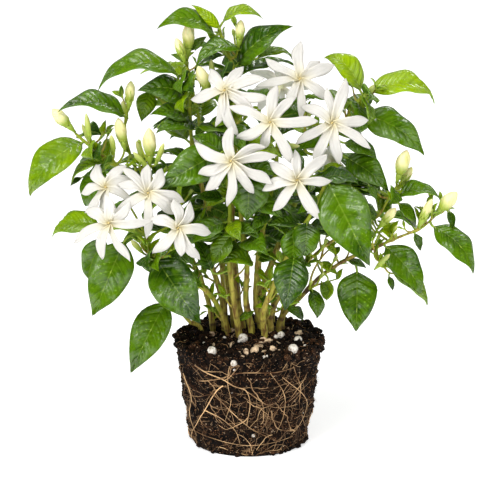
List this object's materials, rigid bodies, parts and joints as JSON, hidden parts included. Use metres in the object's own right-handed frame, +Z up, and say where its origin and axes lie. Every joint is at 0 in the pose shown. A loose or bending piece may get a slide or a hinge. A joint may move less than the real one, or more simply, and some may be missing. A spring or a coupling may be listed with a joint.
{
  "type": "jasmine plant with bare root ball",
  "caption": "Flowering jasmine with leafy stems, star-shaped blooms and buds, standing on its bare pot-shaped root ball.",
  "frame": {"origin": "centre of the flat underside of the root ball, on the surface that it stands on", "axes": "+Z up through the plant, +X to the right and -Y towards the viewer as in the picture"},
  "size_m": [0.2729, 0.1724, 0.2765],
  "materials": {
    "soil": "dark fibrous potting soil, matt",
    "root": "tan fine roots, matt",
    "leaf": "green leaves with a soft sheen on olive stems",
    "petal": "white petals, cream at the throat",
    "bud": "cream buds, yellow-green at the foot",
    "stem": "olive-tan bark on stems and twigs",
    "perlite": "off-white grains in the soil"
  },
  "bodies": {
    "root": {"bloom_1": "petal", "bloom_10": "petal", "bloom_11": "petal", "bloom_12": "petal", "bloom_13": "petal", "bloom_2": "petal", "bloom_3": "petal", "bloom_4": "petal", "bloom_5": "petal", "bloom_6": "petal", "bloom_7": "petal", "bloom_8": "petal", "bloom_9": "petal", "bud_1": "bud", "bud_10": "bud", "bud_11": "bud", "bud_12": "bud", "bud_13": "bud", "bud_2": "bud", "bud_3": "bud", "bud_4": "bud", "bud_5": "bud", "bud_6": "bud", "bud_7": "bud", "bud_8": "bud", "bud_9": "bud", "root_ball": "soil", "root_net": "root", "stem_centre_blooms": "leaf", "stem_centre_right": "leaf", "stem_front_left": "leaf", "stem_front_right": "leaf", "stem_hidden_1": "leaf", "stem_hidden_2": "leaf", "stem_hidden_3": "leaf", "stem_hidden_4": "leaf", "stem_hidden_5": "leaf", "stem_hidden_6": "leaf", "stem_left_blooms": "leaf", "stem_left_buds": "leaf", "stem_low_left": "leaf", "stem_right_buds": "leaf", "stem_right_low": "leaf", "stem_right_top": "leaf", "stem_top": "leaf", "stem_upper_left": "leaf"}
  },
  "joints": []
}
